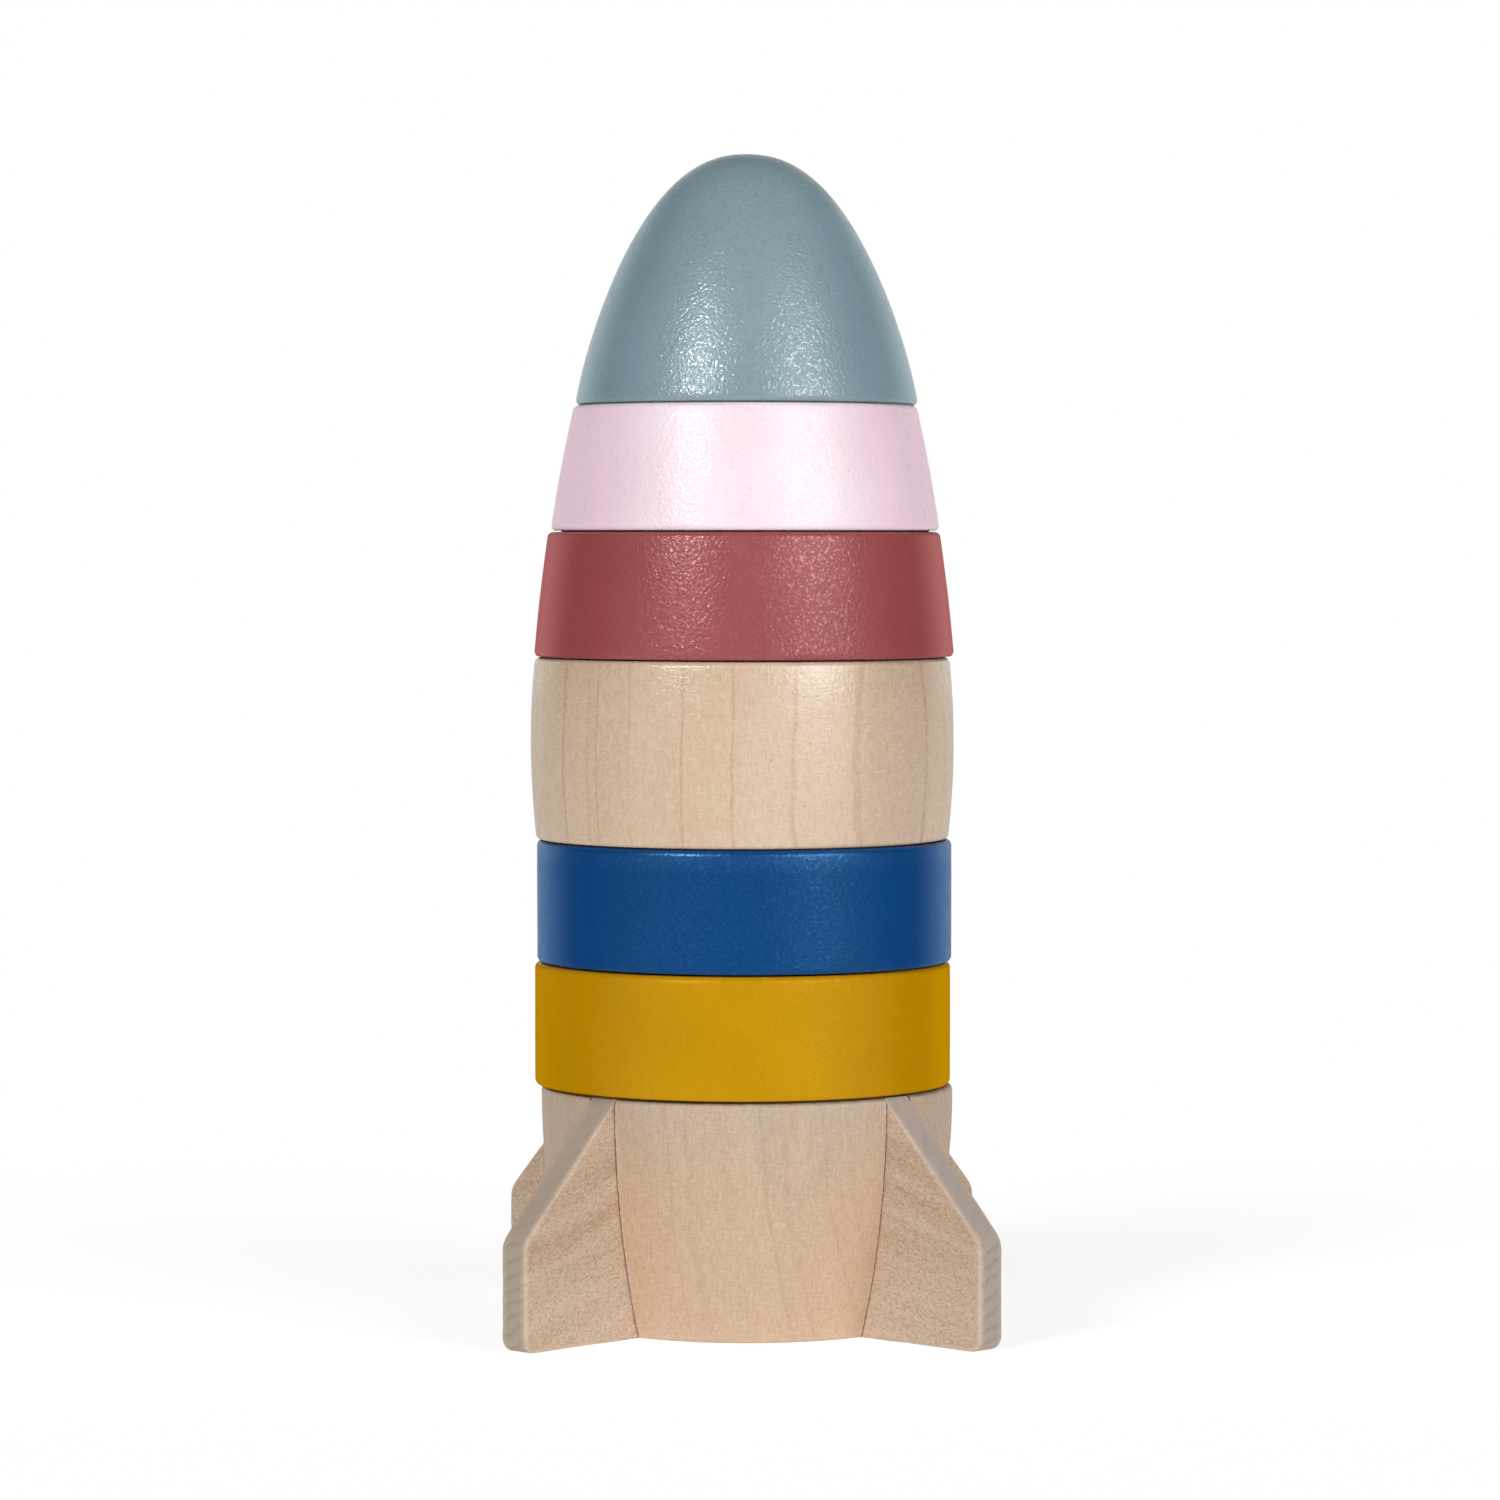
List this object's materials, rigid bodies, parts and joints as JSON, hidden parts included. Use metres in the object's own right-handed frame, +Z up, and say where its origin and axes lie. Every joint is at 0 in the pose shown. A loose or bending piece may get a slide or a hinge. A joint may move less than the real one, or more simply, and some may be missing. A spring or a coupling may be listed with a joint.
{
  "type": "stacking ring toy",
  "caption": "Wooden rocket stacking toy: a finned base with a centre rod, loose bored rings and an ogive nose cone that lift off in turn.",
  "frame": {"origin": "centre of the base's underside, level with the fins' feet", "axes": "+Z up along the rod, towards the nose; -Y is the front, between two fins; +X is right"},
  "size_m": [0.0934, 0.0934, 0.2248],
  "materials": {
    "wood_base": "unpainted sanded hardwood, matt oil",
    "wood_fin": "unpainted sanded hardwood boards, matt",
    "wood_rod": "unpainted hardwood dowel, matt",
    "wood_ring": "unpainted turned hardwood, satin oil",
    "paint_yellow": "satin mustard yellow paint on wood",
    "paint_blue": "satin deep blue paint on wood",
    "paint_red": "satin brick red paint on wood",
    "paint_pink": "satin pale pink paint on wood",
    "paint_grey": "satin blue-grey paint on wood"
  },
  "bodies": {
    "base": {"base_body": "wood_base", "fin_front_left": "wood_fin", "fin_front_right": "wood_fin", "fin_back_right": "wood_fin", "fin_back_left": "wood_fin", "centre_rod": "wood_rod"},
    "yellow_ring": {"yellow_ring": "paint_yellow"},
    "blue_ring": {"blue_ring": "paint_blue"},
    "natural_ring": {"natural_ring": "wood_ring"},
    "red_ring": {"red_ring": "paint_red"},
    "pink_ring": {"pink_ring": "paint_pink"},
    "nose_cone": {"nose_cone": "paint_grey"}
  },
  "joints": [
    {"name": "yellow_lift", "type": "slide", "parent": "base", "child": "yellow_ring", "axis": [0, 0, 1], "range_m": [0, 0.155]},
    {"name": "blue_lift", "type": "slide", "parent": "yellow_ring", "child": "blue_ring", "axis": [0, 0, 1], "range_m": [0, 0.131]},
    {"name": "natural_lift", "type": "slide", "parent": "blue_ring", "child": "natural_ring", "axis": [0, 0, 1], "range_m": [0, 0.108]},
    {"name": "red_lift", "type": "slide", "parent": "natural_ring", "child": "red_ring", "axis": [0, 0, 1], "range_m": [0, 0.073]},
    {"name": "pink_lift", "type": "slide", "parent": "red_ring", "child": "pink_ring", "axis": [0, 0, 1], "range_m": [0, 0.049]},
    {"name": "nose_lift", "type": "slide", "parent": "pink_ring", "child": "nose_cone", "axis": [0, 0, 1], "range_m": [0, 0.025]}
  ]
}
